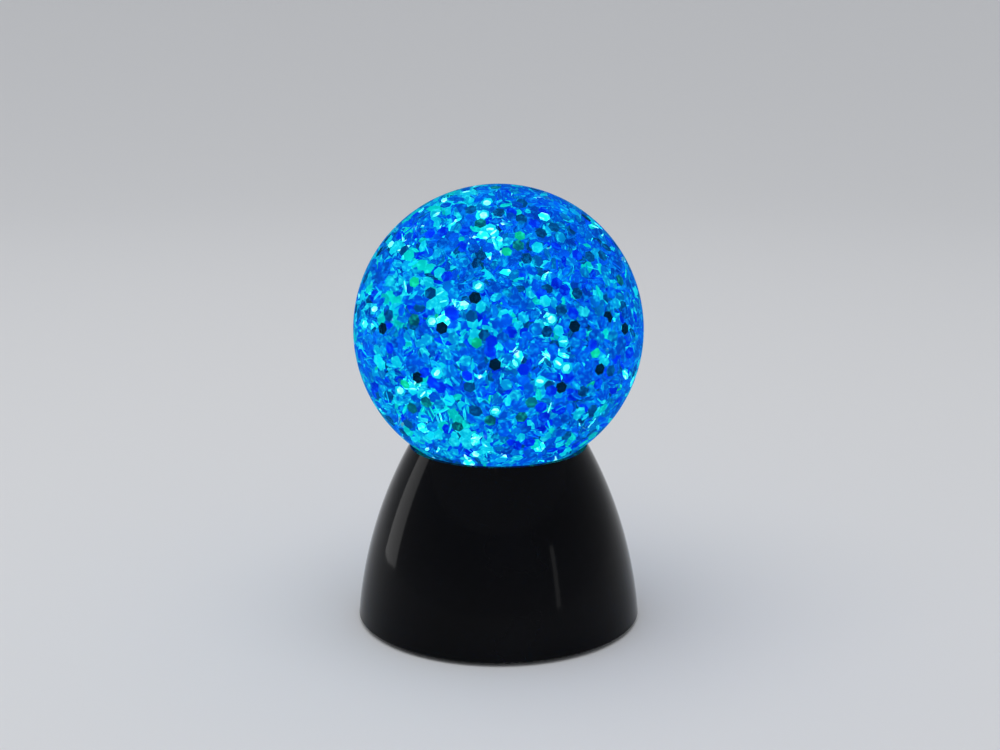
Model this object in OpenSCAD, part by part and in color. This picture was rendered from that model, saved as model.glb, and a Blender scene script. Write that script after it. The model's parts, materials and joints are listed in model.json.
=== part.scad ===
// Glitter lamp: a liquid-filled globe of glitter flakes on a domed base. The base holds a motor that
// turns a stirrer in the globe through magnets, a ring of lights, the cells, a button and an inlet.
// Millimetres. +Z is up, the origin is on the table under the middle of the lamp, the rear is +Y.

/* [Globe] */
// Outside diameter of the globe
globe_d = 90; // [84:1:96]
// Wall of the globe
globe_wall = 2; // [1.2:0.1:3]
// Outside diameter of the neck under the globe
neck_d = 32; // [30:0.5:34]
// Wall of the neck
neck_wall = 2; // [1.6:0.1:2.6]
// Length of neck that stands out under its nut
neck_lip = 0.4; // [0.2:0.1:1]
// Height of the nut that clamps the neck to the deck
nut_h = 3.6; // [3:0.1:5]
// Radial thickness of the nut
nut_wall = 3.5; // [2.5:0.1:4]
// Number of spanner notches round the nut
nut_notches = 6; // [4:1:10]

/* [Base] */
// How far the base stands out past the globe, all round
base_spread = 0; // [-1:0.5:4]
// Diameter of the rim that holds the globe
rim_d = 56; // [55:0.5:60]
// Width of the flat land on the rim
rim_land = 1.7; // [1.2:0.1:2.2]
// Radius of the bulge of the sides, seen from the side
side_r = 140; // [120:5:200]
// Wall of the base
shell_wall = 2.2; // [1.8:0.1:2.6]
// Thickness of the deck inside the base
deck_t = 2; // [1.6:0.1:3]
// Width of the seat inside the rim
seat_w = 1.2; // [0.8:0.1:2]
// Height of the seat ring inside the rim
seat_h = 2.5; // [2:0.1:4]
// Rounding of the bottom edge
edge_r = 0.8; // [0.3:0.1:1.5]
// Gap between the table and the base
base_gap = 1; // [0.6:0.1:2]

/* [Underside] */
// How far the cover sits up inside the base
cover_inset = 0.5; // [0.2:0.1:1]
// Thickness of the bottom cover
cover_t = 2.4; // [2:0.1:3]
// Diameter of a rubber foot
foot_d = 7; // [5:0.5:7.5]
// Depth of a foot's pocket in the cover
foot_pocket = 0.8; // [0.5:0.1:1]
// Thickness of the battery door
door_t = 1.4; // [1.2:0.1:1.6]
// Width of the ledge that the door closes on
door_lip = 2; // [1.5:0.1:2.5]

/* [Cells] */
// Diameter of a cell
cell_d = 10.5; // [10:0.1:10.8]
// Length of a cell with its button end
cell_len = 44.5; // [43.5:0.1:45]
// Number of cells
cell_count = 3; // [2:1:3]
// Free room over and under the cells
cell_clear = 0.4; // [0.2:0.1:0.6]
// Free room between neighbouring cells
cell_side_gap = 0.5; // [0.3:0.1:0.8]
// Wall of the battery box
box_wall = 1.5; // [1.2:0.1:1.8]
// Length of a contact spring when a cell is in
spring_l = 4.5; // [4:0.1:6]
// Turns of a contact spring
spring_turns = 3; // [2:0.5:3]
// Diameter of the spring wire
spring_wire = 0.7; // [0.5:0.1:0.8]
// Thickness of a contact plate
plate_t = 0.5; // [0.3:0.1:0.8]

/* [Drive] */
// Diameter of the motor
motor_d = 24.4; // [20:0.2:26]
// Height of the motor with its end cap
motor_h = 16.3; // [14:0.1:18]
// Height of the motor's end cap
end_cap_h = 1.8; // [1.4:0.1:2.5]
// Diameter of the motor shaft
shaft_d = 2; // [1.5:0.1:3]
// Gap between the battery box and the motor
motor_gap = 0.5; // [0.3:0.1:3]
// Thickness of the motor bracket
bracket_t = 2; // [1.8:0.1:3]
// Diameter of the magnet rotor
rotor_d = 26; // [24:0.5:30]
// Height of the magnet rotor
rotor_h = 4; // [3.6:0.1:6]
// Gap between the bracket and the rotor
rotor_gap = 0.7; // [0.4:0.1:2]
// Gap between the rotor and the neck plug
coupling_gap = 0.8; // [0.4:0.1:2]
// Diameter of a drive magnet
drive_magnet_d = 8; // [6:0.5:8]
// Height of a drive magnet
drive_magnet_h = 3; // [2:0.1:3.2]

/* [Stirrer] */
// Height of the plug
plug_h = 6; // [5.5:0.1:7]
// Thickness of the plug's floor
plug_floor = 2.5; // [2:0.1:3.5]
// Wall of the plug behind its seal
plug_wall = 0.8; // [0.6:0.1:1.5]
// Thickness of the seal ring
seal_d = 1.36; // [1:0.02:1.6]
// Diameter of the stirrer's pin
pin_d = 2; // [1.5:0.1:2.5]
// Gap between the stirrer and the plug's wall
stirrer_gap = 1; // [0.6:0.1:2]
// Height of the stirrer's disc
stirrer_disc_h = 3; // [2.6:0.1:4]
// Height of the paddles over the disc
paddle_h = 4.6; // [3:0.1:6]
// Thickness of a paddle
paddle_t = 1.2; // [0.8:0.1:2]
// Number of paddles
paddle_count = 4; // [2:1:6]
// Diameter of a stirrer magnet
stirrer_magnet_d = 6; // [4:0.5:6]
// Height of a stirrer magnet
stirrer_magnet_h = 2; // [1.5:0.1:2.4]

/* [Lights] */
// Diameter of a light
led_d = 5; // [3:0.5:5]
// Height of a light's straight part
led_body_h = 1.9; // [1:0.1:3]
// Gap between a light and the globe
led_gap = 1.25; // [0.6:0.05:3]
// Distance from the neck to the middle of a light
led_offset = 6; // [5:0.1:6.2]
// Lights of each colour
led_each = 2; // [1:1:2]
// Thickness of the circuit boards
board_t = 1.6; // [1.2:0.1:2]

/* [Button and inlet] */
// Distance of the button and the inlet from the middle
power_x = 9; // [8.8:0.1:10]
// Diameter of the button
button_d = 9.8; // [8:0.1:10]
// How far the button stands out of the base
button_proud = 1.9; // [1.6:0.1:2.4]
// Travel of the button
button_travel = 1.5; // [0.8:0.1:1.5]
// Depth of the switch behind the button
switch_depth = 4; // [3.5:0.1:4.5]
// Length of the inlet, from its board to its mouth
inlet_l = 12; // [11:0.1:13]
// Outside diameter of the inlet's nose
inlet_nose_d = 6; // [5:0.1:6.6]
// Bore of the inlet
inlet_bore_d = 3.6; // [3:0.1:4]
// Diameter of the inlet's centre pin
inlet_pin_d = 1.3; // [1:0.1:1.6]

/* [Glitter] */
// Width of a flake across its flats
flake_w = 3.2; // [1.6:0.1:4]
// Thickness of a flake
flake_t = 0.2; // [0.1:0.05:0.4]
// Number of flakes before those in the stirrer's way are left out
flake_count = 240; // [60:10:300]

/* [Fits] */
// Radial gap of a shaft that runs in a bore
run_gap = 0.05; // [0.02:0.01:0.1]
// Radial gap of a screw or pin in its hole
fix_gap = 0.05; // [0.02:0.01:0.1]
// Gap round a piece that slides or lifts out
slide_gap = 0.3; // [0.2:0.05:0.5]
// Gap between the globe and its seat
seat_gap = 0.1; // [0.05:0.05:0.3]

/* [Hidden] */
$fn = 96;
FINE = 720;
OVER = 1;

// Radii of the main round pieces
globe_r = globe_d / 2;
base_r = globe_r + base_spread;
rim_r = rim_d / 2;
seat_r = rim_r - rim_land;
neck_r = neck_d / 2;
neck_bore_r = neck_r - neck_wall;
nut_r = neck_r + nut_wall;
motor_r = motor_d / 2;
rotor_r = rotor_d / 2;
led_r = led_d / 2;
led_ring_r = neck_r + led_offset;

// Heights, from the table up: each piece stands on the one before it
cover_z = base_gap + cover_inset;
door_top = cover_z + door_t;
cover_top = cover_z + cover_t;
cell_z = door_top + cell_clear + cell_d / 2;
roof_z = cell_z + cell_d / 2 + cell_clear;
roof_top = roof_z + box_wall;
motor_z = roof_top + motor_gap;
can_z = motor_z + end_cap_h;
motor_top = motor_z + motor_h;
bracket_top = motor_top + bracket_t;
rotor_z = bracket_top + rotor_gap;
rotor_top = rotor_z + rotor_h;
neck_z = rotor_top + coupling_gap;
nut_z = neck_z + neck_lip;
deck_z = nut_z + nut_h;
deck_top = deck_z + deck_t;
board_top = deck_top + board_t;
led_centre_z = board_top + led_body_h;
globe_z = led_centre_z + sqrt(pow(globe_r + led_r + led_gap, 2) - pow(led_ring_r, 2));
rim_z = globe_z - sqrt(pow(globe_r, 2) - pow(seat_r, 2));

// Centre of the arc that bulges the sides, from the bottom edge to the rim
side_chord = norm([base_r - rim_r, rim_z - base_gap]);
side_start = atan2(base_r - rim_r, rim_z - base_gap) - asin(side_chord / 2 / side_r);
side_x = base_r - side_r * cos(side_start);
side_z = base_gap - side_r * sin(side_start);

// Radius of the side at a height, and how far back the side lies off the middle plane
function side_at(z, inset) = side_x + sqrt(pow(side_r - inset, 2) - pow(z - side_z, 2));
function wall_y(x, z, inset) = sqrt(pow(side_at(z, inset), 2) - pow(x, 2));

// Battery box: where each cell lies across it, and which way the cell's button end points
cell_pitch = cell_d + cell_side_gap;
cell_nub_d = 3.8;
cell_nub_h = 0.9;
dimple_h = 0.5;
bay_l = cell_len + spring_l + 2 * plate_t + dimple_h;
bay_w = cell_count * cell_pitch;
plate_side_gap = 2;
plate_w = cell_pitch - plate_side_gap;
plate_x = bay_l / 2 - plate_t / 2;
plate_edge_gap = 0.3;
tag_w = 3;
tag_h = 2.5;
function cell_y(i) = (i - (cell_count - 1) / 2) * cell_pitch;
function cell_way(i) = i % 2 == 0 ? 1 : -1;

// Solder tags of the first and the last contact, each with its end of the box and its cell
tags = [[-1, 0], [cell_way(cell_count - 1), cell_count - 1]];
function tag_place(t, z) = [t[0] * plate_x, cell_y(t[1]), z];

// Screws: shank, length, head diameter and head height
cover_screw = [2.6, 8, 4.8, 1.6];
door_screw = [2, 5, 3.8, 1];
led_screw = [2, board_t + deck_t, 3.6, 1.3];
motor_grip = 1.6;
motor_screw = [1.7, bracket_t + motor_grip, 3, 1];
post_grip = 6;
bracket_screw = [2.3, bracket_t + post_grip, 4, 1.4];
pillar_grip = 5;
power_screw = [2, board_t + pillar_grip, 3.6, 1.3];
recess_share = 0.65;
recess_w = 0.7;

// Cover: its screws, the feet and the door's screws
cover_r = side_at(cover_top, shell_wall) - slide_gap;
cover_boss_r = 3.2;
cover_boss_h = 20;
cover_boss_hole = 10;
cover_boss_rib = 1.6;
cover_screw_inset = 8.5;
cover_ring_r = base_r - cover_screw_inset;
cover_boss_angles = [55, 125, 235, 305];
foot_inset = 7.5;
foot_ring_r = base_r - foot_inset;
foot_angles = [0, 90, 180, 270];
foot_edge = 0.5;
door_boss_r = 3;
door_boss_h = 5;
door_boss_roof = 1;
door_boss_gap = 0.2;
door_tab_r = 4;
door_screw_y = bay_w / 2 + box_wall + door_boss_r + door_boss_gap;

// Motor and its bracket, which hangs from two posts under the deck
post_r = 3;
post_gap = 1.5;
post_x = nut_r + post_r + post_gap;
post_hole = 8;
motor_screw_inset = 5.2;
motor_screw_y = motor_r - motor_screw_inset;
bracket_edge = 3;
bracket_half_w = motor_screw_y + bracket_edge;
motor_boss_d = 6.2;
motor_boss_h = 1.1;
shaft_floor = 1;
shaft_end_gap = 0.5;
shaft_short = 0.2;
terminal = [1.6, 4, 1];
terminal_x = 4;
terminal_out = 1.4;
terminal_y = motor_r + terminal_out;
terminal_z = motor_z + end_cap_h / 2;
rotor_edge = 1.5;
drive_magnet_x = rotor_r - drive_magnet_d / 2 - rotor_edge;

// Plug and stirrer
plug_r = neck_bore_r - fix_gap;
plug_top = neck_z + plug_h;
seal_slack = 0.02;
seal_groove_r = neck_bore_r - seal_d - 2 * seal_slack;
seal_side_room = 0.24;
seal_groove_w = seal_d + seal_side_room;
seal_lift = 0.9;
seal_z = neck_z + plug_floor + seal_lift;
plug_dish_r = seal_groove_r - plug_wall;
plug_boss_wall = 1;
plug_boss_r = pin_d / 2 + plug_boss_wall;
plug_boss_h = 0.6;
stirrer_r = plug_dish_r - stirrer_gap;
stirrer_z = neck_z + plug_floor + plug_boss_h + slide_gap;
stirrer_hub_wall = 1.6;
stirrer_hub_r = pin_d / 2 + stirrer_hub_wall;
stirrer_edge = 0.8;
stirrer_magnet_x = stirrer_r - stirrer_magnet_d / 2 - stirrer_edge;
paddle_r = stirrer_r - stirrer_edge;
paddle_z = stirrer_z + stirrer_disc_h;
hub_rise = 0.6;
hub_top = paddle_z + paddle_h + hub_rise;
cap_z = hub_top + slide_gap;
cap_wall = 1.2;
cap_r = pin_d / 2 + cap_wall;
cap_grip = 1.4;
cap_roof = 0.8;
pin_floor = 1;
pin_z = neck_z + pin_floor;
pin_top = cap_z + cap_grip;

// Liquid and glitter
liquid_r = globe_r - globe_wall - slide_gap;
pocket_gap = 1.5;
pocket_r = stirrer_r + pocket_gap;
pocket_rise = 1;
pocket_top = pin_top + cap_roof + pocket_rise;
flake_r = flake_w / 2 / cos(30);
cloud_gap = 0.3;
cloud_r = liquid_r - flake_r - cloud_gap;

// Lights, with the board's screws, chip and wire hole between them
led_angles = [for (i = [0 : 3 * led_each - 1]) i * 120 / led_each];
led_screw_angles = [90, 210, 330];
led_board_edge = 2.7;
led_board_r = led_ring_r + led_board_edge;
led_board_gap = 1;
led_board_bore = neck_r + led_board_gap;
chip_angle = 150;
chip_size = [3.9, 4.9, 1.5];
wire_hole_d = 4.4;
wire_hole = led_ring_r * [cos(30), sin(30)];

// Power board, with the switch and the inlet on its rear face: the inlet's mouth lies at the wall
power_board_w = 30;
power_board_drop = 6.5;
power_board_rise = 7;
power_board_lift = 0.6;
power_z = cover_top + door_boss_h + power_board_lift + power_board_drop;
inlet_side = 7;
inlet_body_y = wall_y(power_x + inlet_side / 2, power_z + inlet_side / 2, shell_wall) - slide_gap;
inlet_nose_y = wall_y(power_x, power_z + inlet_nose_d / 2, 0) - slide_gap;
inlet_back = 2;
inlet_pin_short = 1;
power_face_y = inlet_nose_y - inlet_l;
power_board_y = power_face_y - board_t;
pillar_r = 2.2;
pillar_reach = 4;
pillar_z = [power_z - pillar_reach, power_z + pillar_reach];
switch_side = 8;
plunger_side = 3;
plunger_gap = 0.3;
plunger_in = 1.6;
plunger_end_gap = 0.4;
flange_t = 0.9;
flange_edge = 1;
flange_r = button_d / 2 + flange_edge;
flange_wall_y = wall_y(power_x + flange_r, power_z + flange_r / 2, shell_wall);
flange_y = flange_wall_y - slide_gap - flange_t;
button_face_y = wall_y(power_x, power_z, 0) + button_proud;
guide_y = flange_y + flange_t + slide_gap;
guide_wall = 1.6;
guide_r = button_d / 2 + slide_gap + guide_wall;

// Wires: each is a list of points that it passes through, with a straight lead off its seat at both ends
wire_d = 1.4;
wire_sides = 8;
wire_steps = 4;
wire_lead = 2;
function tag_lead(t) = [for (lift = [0, wire_lead]) tag_place(t, roof_top + tag_h + lift)];
function terminal_lead(side) = [for (out = [0, wire_lead]) [side * terminal_x, terminal_y + out, terminal_z]];
function led_lead(x, y) = [for (drop = [0, wire_lead]) [wire_hole[0] + x, wire_hole[1] + y, deck_top - drop]];
function power_lead(x, z) = [for (out = [wire_lead, 0]) [x, power_board_y - out, z]];
battery_routes = [
    concat(tag_lead(tags[0]), [[-26, -4, 22], [-22, 8, 23.5], [-15, 18, 22.5]], power_lead(-11, 21)),
    concat(tag_lead(tags[1]), [[24, 17, 22], [19, 21, 22.5]], power_lead(14, 20.8))
];
motor_routes = [for (side = [-1, 1])
    concat(terminal_lead(side), [[side * 4.6, 18, 18.6]], power_lead(side * 5, 21))];
led_routes = [
    concat(led_lead(-1.1, 0.6), [[16, 15, 36], [10.5, 20, 27]], power_lead(8.3, 21.5)),
    concat(led_lead(1.1, -0.6), [[18.4, 13, 36], [13.5, 18, 27]], power_lead(11, 21.5))
];

BLACK = [0.02, 0.02, 0.025];
SATIN_BLACK = [0.08, 0.08, 0.085];
CLEAR = [0.75, 0.9, 1, 0.25];
STEEL = [0.75, 0.76, 0.78];
BOARD = [0.08, 0.35, 0.2];
WHITE = [0.9, 0.9, 0.88];

// Copies of a piece on a ring round the axis
module on_ring(r, angles) {
    for (a = angles) rotate(a) translate([r, 0, 0]) children();
}

// A copy on each side of the middle, along X or along Y
module both_sides(x) {
    for (s = [-1, 1]) translate([s * x, 0, 0]) children();
}

module front_and_back(y) {
    for (s = [-1, 1]) translate([0, s * y, 0]) children();
}

// A piece turned so that its height runs backwards along Y
module backwards() {
    rotate([-90, 0, 0]) children();
}

// A round bar between two heights
module bar(d, z0, z1) {
    translate([0, 0, z0]) cylinder(d = d, h = z1 - z0);
}

// A ring between two heights
module ring(d, bore, z0, z1) {
    difference() {
        bar(d, z0, z1);
        bar(bore, z0 - OVER, z1 + OVER);
    }
}

// A block centred in X and Y between two heights
module block(l, w, z0, z1) {
    translate([-l / 2, -w / 2, z0]) cube([l, w, z1 - z0]);
}

// A pan-head screw that points up, with its head under Z 0 and a cross in the head
module screw(size) {
    difference() {
        union() {
            bar(size[0], 0, size[1]);
            bar(size[2], -size[3], 0);
        }
        for (a = [0, 90])
            rotate(a) block(size[2] * recess_share, recess_w, -size[3] - OVER, -size[3] / 2);
    }
}

// The hole for a screw's shank
module screw_hole(size, z0, z1) {
    bar(size[0] + 2 * fix_gap, z0, z1);
}

// The flat disc whose edge is the bulge of the sides, taken in by an inset
module side_disc(inset) {
    translate([side_x, side_z]) circle(r = side_r - inset, $fn = FINE);
}

// Half section of the base as if it were solid
module solid_section() {
    intersection() {
        side_disc(0);
        translate([0, base_gap]) square([base_r, rim_z - base_gap]);
    }
}

// Half section of a room inside the base, between two heights
module room_section(z0, z1) {
    intersection() {
        side_disc(shell_wall);
        translate([0, z0]) square([base_r, z1 - z0]);
    }
}

module shell_section() {
    difference() {
        solid_section();
        room_section(base_gap - OVER, deck_z);
        room_section(deck_top, rim_z - seat_h);
        translate([0, rim_z - seat_h - OVER]) square([seat_r - seat_w, seat_h + 2 * OVER]);
        translate([0, deck_z - OVER]) square([neck_r + slide_gap, deck_t + 2 * OVER]);
        translate([0, globe_z]) circle(r = globe_r + seat_gap, $fn = FINE);
        // Rounding of the bottom edge
        difference() {
            translate([base_r - edge_r, base_gap - OVER]) square([edge_r + OVER, edge_r + OVER]);
            translate([base_r - edge_r, base_gap + edge_r]) circle(r = edge_r);
        }
    }
}

// What stands inside the base: cover bosses with ribs, bracket posts, pillars and the button's guide
module shell_bosses() {
    on_ring(cover_ring_r, cover_boss_angles) {
        bar(2 * cover_boss_r, cover_top, cover_top + cover_boss_h);
        translate([0, -cover_boss_rib / 2, cover_top])
            cube([base_r - cover_ring_r, cover_boss_rib, cover_boss_h]);
    }
    both_sides(post_x) bar(2 * post_r, bracket_top, deck_z + deck_t / 2);
    for (z = pillar_z) translate([0, 0, z]) backwards() bar(2 * pillar_r, power_face_y, base_r);
    translate([-power_x, 0, power_z]) backwards() bar(2 * guide_r, guide_y, base_r);
}

module base_shell() {
    color(BLACK) difference() {
        union() {
            rotate_extrude($fn = FINE) shell_section();
            intersection() {
                shell_bosses();
                rotate_extrude($fn = FINE) solid_section();
            }
        }
        on_ring(cover_ring_r, cover_boss_angles)
            screw_hole(cover_screw, cover_top - OVER, cover_top + cover_boss_hole);
        both_sides(post_x) screw_hole(bracket_screw, bracket_top - OVER, bracket_top + post_hole);
        on_ring(led_ring_r, led_screw_angles) screw_hole(led_screw, deck_z - OVER, deck_top + OVER);
        translate(wire_hole) bar(wire_hole_d, deck_z - OVER, deck_top + OVER);
        for (z = pillar_z) translate([0, power_face_y, z]) backwards()
            screw_hole(power_screw, -OVER, power_screw[1]);
        translate([-power_x, 0, power_z]) backwards() bar(button_d + 2 * slide_gap, guide_y - OVER, base_r);
        translate([power_x, 0, power_z]) backwards()
            bar(inlet_nose_d + 2 * slide_gap, inlet_body_y - OVER, base_r);
    }
}

// Flat outline of the battery door, grown by a margin
module door_outline(margin) {
    square([bay_l + 2 * (door_lip + margin), bay_w + 2 * (door_lip + margin)], center = true);
    for (s = [-1, 1]) translate([0, s * door_screw_y]) circle(r = door_tab_r + margin);
}

module bottom_cover() {
    color(SATIN_BLACK) difference() {
        union() {
            bar(2 * cover_r, cover_z, cover_top);
            block(bay_l + 2 * box_wall, bay_w + 2 * box_wall, cover_z, roof_top);
            front_and_back(door_screw_y) bar(2 * door_boss_r, cover_z, cover_top + door_boss_h);
        }
        block(bay_l, bay_w, cover_z - OVER, roof_z);
        translate([0, 0, cover_z - OVER]) linear_extrude(door_t + OVER) door_outline(0);
        front_and_back(door_screw_y)
            screw_hole(door_screw, door_top - OVER, cover_top + door_boss_h - door_boss_roof);
        on_ring(cover_ring_r, cover_boss_angles) {
            screw_hole(cover_screw, cover_z - OVER, cover_top + OVER);
            bar(cover_screw[2] + 2 * slide_gap, cover_z - OVER, cover_z + cover_screw[3]);
        }
        on_ring(foot_ring_r, foot_angles) bar(foot_d + 2 * fix_gap, cover_z - OVER, cover_z + foot_pocket);
        for (t = tags) translate(tag_place(t, 0))
            block(plate_t + 2 * fix_gap, tag_w + 2 * fix_gap, roof_z - OVER, roof_top + OVER);
    }
}

module cover_screws() {
    color(STEEL) on_ring(cover_ring_r, cover_boss_angles)
        translate([0, 0, cover_z + cover_screw[3]]) screw(cover_screw);
}

module rubber_feet() {
    color([0.12, 0.12, 0.12]) on_ring(foot_ring_r, foot_angles) {
        cylinder(d1 = foot_d - 2 * foot_edge, d2 = foot_d, h = foot_edge);
        bar(foot_d, foot_edge, cover_z + foot_pocket);
    }
}

module battery_door() {
    color(SATIN_BLACK) difference() {
        translate([0, 0, cover_z]) linear_extrude(door_t) door_outline(-slide_gap);
        front_and_back(door_screw_y) {
            screw_hole(door_screw, cover_z - OVER, door_top + OVER);
            bar(door_screw[2] + 2 * slide_gap, cover_z - OVER, cover_z + door_screw[3]);
        }
    }
}

module door_screws() {
    color(STEEL) front_and_back(door_screw_y) translate([0, 0, cover_z + door_screw[3]]) screw(door_screw);
}

module globe_section() {
    difference() {
        union() {
            translate([0, globe_z]) intersection() {
                circle(r = globe_r, $fn = FINE);
                translate([0, -globe_r]) square([globe_r, 2 * globe_r]);
            }
            translate([0, neck_z]) square([neck_r, globe_z - globe_r + globe_wall + OVER - neck_z]);
        }
        translate([0, globe_z]) circle(r = globe_r - globe_wall, $fn = FINE);
        translate([0, neck_z - OVER]) square([neck_bore_r, globe_z - globe_r / 2 - neck_z]);
    }
}

module globe_shell() {
    color(CLEAR) rotate_extrude($fn = FINE) globe_section();
}

module globe_plug() {
    color(WHITE) difference() {
        union() {
            difference() {
                bar(2 * plug_r, neck_z, plug_top);
                bar(2 * plug_dish_r, neck_z + plug_floor, plug_top + OVER);
            }
            bar(2 * plug_boss_r, neck_z + plug_floor - OVER, neck_z + plug_floor + plug_boss_h);
        }
        ring(neck_d, 2 * seal_groove_r, seal_z - seal_groove_w / 2, seal_z + seal_groove_w / 2);
        bar(pin_d + 2 * fix_gap, pin_z, plug_top);
    }
}

module plug_seal_ring() {
    color([0.15, 0.15, 0.15]) translate([0, 0, seal_z]) rotate_extrude()
        translate([neck_bore_r - seal_d / 2 - seal_slack, 0]) circle(d = seal_d);
}

module neck_nut() {
    notch_l = 2.4;
    notch_w = 4;
    color(SATIN_BLACK) difference() {
        ring(2 * nut_r, neck_d + 2 * fix_gap, nut_z, deck_z);
        on_ring(nut_r, [for (i = [0 : nut_notches - 1]) i * 360 / nut_notches])
            block(notch_l, notch_w, nut_z - OVER, deck_z + OVER);
    }
}

module stirrer_pin() {
    color(STEEL) bar(pin_d, pin_z, pin_top);
}

module pin_cap() {
    color(WHITE) difference() {
        bar(2 * cap_r, cap_z, pin_top + cap_roof);
        bar(pin_d + 2 * fix_gap, cap_z - OVER, pin_top);
    }
}

module stirrer() {
    color(WHITE) difference() {
        union() {
            bar(2 * stirrer_r, stirrer_z, paddle_z);
            bar(2 * stirrer_hub_r, stirrer_z, hub_top);
            on_ring(0, [for (i = [0 : paddle_count - 1]) i * 360 / paddle_count])
                translate([0, -paddle_t / 2, paddle_z - OVER]) cube([paddle_r, paddle_t, paddle_h + OVER]);
        }
        bar(pin_d + 2 * run_gap, stirrer_z - OVER, hub_top + OVER);
        both_sides(stirrer_magnet_x)
            bar(stirrer_magnet_d + 2 * fix_gap, stirrer_z - OVER, stirrer_z + stirrer_magnet_h);
    }
}

module stirrer_magnets() {
    color(STEEL) both_sides(stirrer_magnet_x) bar(stirrer_magnet_d, stirrer_z, stirrer_z + stirrer_magnet_h);
}

// The liquid, clear of the globe's wall and of the stirrer
module liquid_fill() {
    color([0.1, 0.45, 0.95, 0.3]) difference() {
        translate([0, 0, globe_z]) sphere(r = liquid_r);
        bar(2 * pocket_r, globe_z - globe_r, pocket_top);
    }
}

// An even spread of flake places: steps of a sequence that fills a cube, bent into a ball
EVEN_STEP = 1.2207440846;
function part_of_one(x) = x - floor(x);
function even(i, k) = part_of_one(0.5 + i / pow(EVEN_STEP, k));
function flake_place(i) =
    let (
        r = cloud_r * pow(even(i, 1), 1 / 3),
        rise = asin(2 * even(i, 2) - 1),
        turn = 360 * even(i, 3)
    )
    [r * cos(rise) * cos(turn), r * cos(rise) * sin(turn), globe_z + r * sin(rise)];
function clear_of_stirrer(p) = norm([p[0], p[1]]) > pocket_r + flake_r || p[2] > pocket_top + flake_r;

module glitter_flakes() {
    color([0.1, 0.65, 1]) for (i = [0 : flake_count - 1]) {
        place = flake_place(i);
        if (clear_of_stirrer(place))
            translate(place) rotate([180 * even(i, 4), 180 * even(i, 5), 60 * even(i, 6)])
                cylinder(r = flake_r, h = flake_t, center = true, $fn = 6);
    }
}

module led_board() {
    color(BOARD) difference() {
        ring(2 * led_board_r, 2 * led_board_bore, deck_top, board_top);
        on_ring(led_ring_r, led_screw_angles) screw_hole(led_screw, deck_top - OVER, board_top + OVER);
    }
}

// The lights of one colour: every third one round the board
module leds(first) {
    on_ring(led_ring_r, [for (i = [first : 3 : len(led_angles) - 1]) led_angles[i]]) {
        bar(led_d, board_top, led_centre_z);
        translate([0, 0, led_centre_z]) intersection() {
            sphere(d = led_d);
            bar(led_d + OVER, 0, led_d);
        }
    }
}

module red_leds() {
    color([0.9, 0.1, 0.1]) leds(0);
}

module green_leds() {
    color([0.1, 0.9, 0.2]) leds(1);
}

module blue_leds() {
    color([0.1, 0.2, 0.95]) leds(2);
}

module control_chip() {
    color(SATIN_BLACK) on_ring(led_ring_r, [chip_angle])
        block(chip_size[0], chip_size[1], board_top, board_top + chip_size[2]);
}

module led_board_screws() {
    color(STEEL) on_ring(led_ring_r, led_screw_angles)
        translate([0, 0, board_top]) mirror([0, 0, 1]) screw(led_screw);
}

// Height at which the heads of the motor's screws sit, sunk in the bracket
motor_screw_z = bracket_top - motor_screw[3] - fix_gap;

module motor_can() {
    color(STEEL) difference() {
        union() {
            bar(motor_d, can_z, motor_top);
            bar(motor_boss_d, motor_top - OVER, motor_top + motor_boss_h);
        }
        bar(shaft_d + 2 * run_gap, can_z + shaft_floor, motor_top + motor_boss_h + OVER);
        front_and_back(motor_screw_y)
            screw_hole(motor_screw, motor_screw_z - motor_screw[1] - fix_gap, motor_top + OVER);
    }
}

// Places of the motor's terminals: a block from inside the end cap out to the wires
module terminal_bars(margin) {
    both_sides(terminal_x) translate([0, terminal_y - terminal[1] / 2, terminal_z])
        cube(terminal + 2 * margin * [1, 0, 1], center = true);
}

module motor_end_cap() {
    color(SATIN_BLACK) difference() {
        bar(motor_d, motor_z, can_z);
        terminal_bars(fix_gap);
    }
}

module motor_terminals() {
    color([0.8, 0.65, 0.3]) terminal_bars(0);
}

module motor_shaft() {
    color(STEEL) bar(shaft_d, can_z + shaft_floor + shaft_end_gap, rotor_top - shaft_short);
}

module magnet_rotor() {
    color(WHITE) difference() {
        bar(rotor_d, rotor_z, rotor_top);
        bar(shaft_d + 2 * fix_gap, rotor_z - OVER, rotor_top + OVER);
        both_sides(drive_magnet_x)
            bar(drive_magnet_d + 2 * fix_gap, rotor_top - drive_magnet_h, rotor_top + OVER);
    }
}

module drive_magnets() {
    color(STEEL) both_sides(drive_magnet_x) bar(drive_magnet_d, rotor_top - drive_magnet_h, rotor_top);
}

module motor_bracket() {
    color(SATIN_BLACK) difference() {
        translate([0, 0, motor_top]) linear_extrude(bracket_t) {
            square([2 * post_x, 2 * bracket_half_w], center = true);
            for (s = [-1, 1]) translate([s * post_x, 0]) circle(r = bracket_half_w / 2);
        }
        bar(motor_boss_d + 2 * fix_gap, motor_top - OVER, bracket_top + OVER);
        both_sides(post_x) screw_hole(bracket_screw, motor_top - OVER, bracket_top + OVER);
        front_and_back(motor_screw_y) {
            screw_hole(motor_screw, motor_top - OVER, bracket_top + OVER);
            bar(motor_screw[2] + 2 * slide_gap, motor_screw_z, bracket_top + OVER);
        }
    }
}

module motor_screws() {
    color(STEEL) front_and_back(motor_screw_y)
        translate([0, 0, motor_screw_z]) mirror([0, 0, 1]) screw(motor_screw);
}

module bracket_screws() {
    color(STEEL) both_sides(post_x) translate([0, 0, motor_top]) screw(bracket_screw);
}

module power_board() {
    color(BOARD) difference() {
        translate([-power_board_w / 2, power_board_y, power_z - power_board_drop])
            cube([power_board_w, board_t, power_board_drop + power_board_rise]);
        for (z = pillar_z) translate([0, power_board_y, z]) backwards()
            screw_hole(power_screw, -OVER, board_t + OVER);
    }
}

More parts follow.
